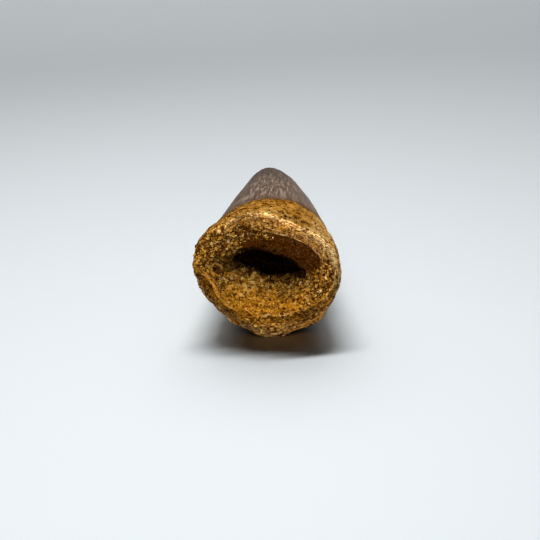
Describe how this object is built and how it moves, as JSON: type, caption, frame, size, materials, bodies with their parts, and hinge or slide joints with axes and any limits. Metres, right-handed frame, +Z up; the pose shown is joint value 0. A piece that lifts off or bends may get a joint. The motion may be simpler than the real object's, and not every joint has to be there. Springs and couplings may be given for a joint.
{
  "type": "fossil spinosaurus tooth",
  "caption": "Long conical fossil tooth lying on its side, with a worn blunt tip, faint flutes, and a broken root open to a sand-lined pulp cavity.",
  "frame": {"origin": "on the surface the tooth lies on, under the middle of its bounding box", "axes": "+Y along the tooth from the broken root to the tip, +Z up, +X to the right seen from the broken root"},
  "size_m": [0.0264, 0.0742, 0.0237],
  "materials": {
    "fossil_tooth": "satin brown-grey enamel on the crown, rough ochre root and sandstone at the broken end"
  },
  "bodies": {
    "root": {"tooth": "fossil_tooth"}
  },
  "joints": []
}
